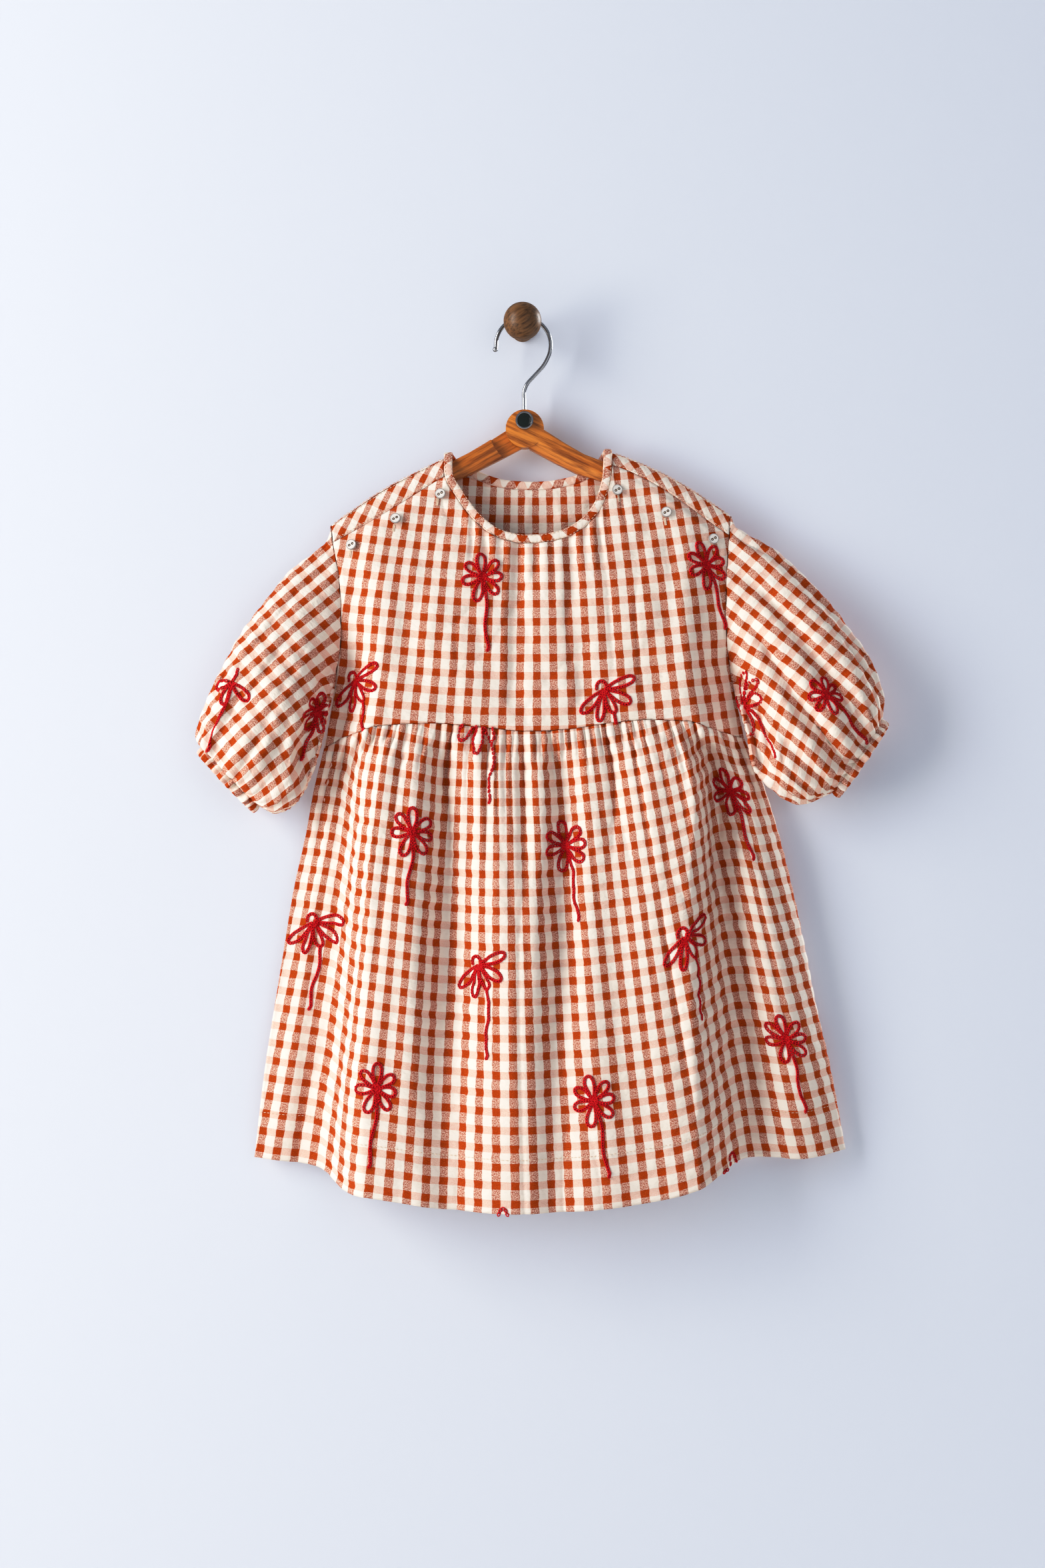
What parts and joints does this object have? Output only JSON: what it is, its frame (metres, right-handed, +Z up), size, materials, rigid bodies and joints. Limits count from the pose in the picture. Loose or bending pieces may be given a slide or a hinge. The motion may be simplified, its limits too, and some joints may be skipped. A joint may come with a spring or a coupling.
{
  "type": "child's gingham dress on a folding wooden hanger hung from a wall peg",
  "caption": "Short-sleeved gathered dress in checked cotton, hung open and flat on a jointed wooden hanger whose wire hook goes over a ball peg on the wall.",
  "frame": {"origin": "middle of the peg's flat back face, in the plane of the wall", "axes": "+Z up, +X to the right of someone facing the dress, +Y into the wall; the dress hangs below and in front of the wall"},
  "size_m": [0.5155, 0.0685, 0.6662],
  "materials": {
    "gingham_seersucker": "matte puckered cotton, woven rust and cream checks",
    "gingham_bias": "matte cotton cut on the bias",
    "hanger_wood": "oiled, satin, straight grain",
    "peg_wood": "turned and oiled, satin",
    "chrome": "polished",
    "dark_inlay": "glossy dark green-black",
    "embroidery_thread": "matte crimson cotton thread, chain stitched",
    "button_shell": "polished shell"
  },
  "bodies": {
    "root": {"front_bodice": "gingham_seersucker", "back_bodice": "gingham_seersucker", "front_skirt": "gingham_seersucker", "back_skirt": "gingham_seersucker", "sleeve_left": "gingham_seersucker", "sleeve_right": "gingham_seersucker", "cuff_left": "gingham_seersucker", "cuff_right": "gingham_seersucker", "neck_binding_front": "gingham_bias", "neck_binding_back": "gingham_bias", "shoulder_band_front_left": "gingham_bias", "shoulder_band_back_left": "gingham_bias", "shoulder_band_front_right": "gingham_bias", "shoulder_band_back_right": "gingham_bias", "hanger_arm_left": "hanger_wood", "hanger_arm_right": "hanger_wood", "hanger_rivet": "chrome", "rivet_inlay": "dark_inlay", "hanger_hook": "chrome", "wall_peg": "peg_wood", "button_left_1": "button_shell", "button_left_2": "button_shell", "button_left_3": "button_shell", "button_right_1": "button_shell", "button_right_2": "button_shell", "button_right_3": "button_shell"}
  },
  "joints": []
}
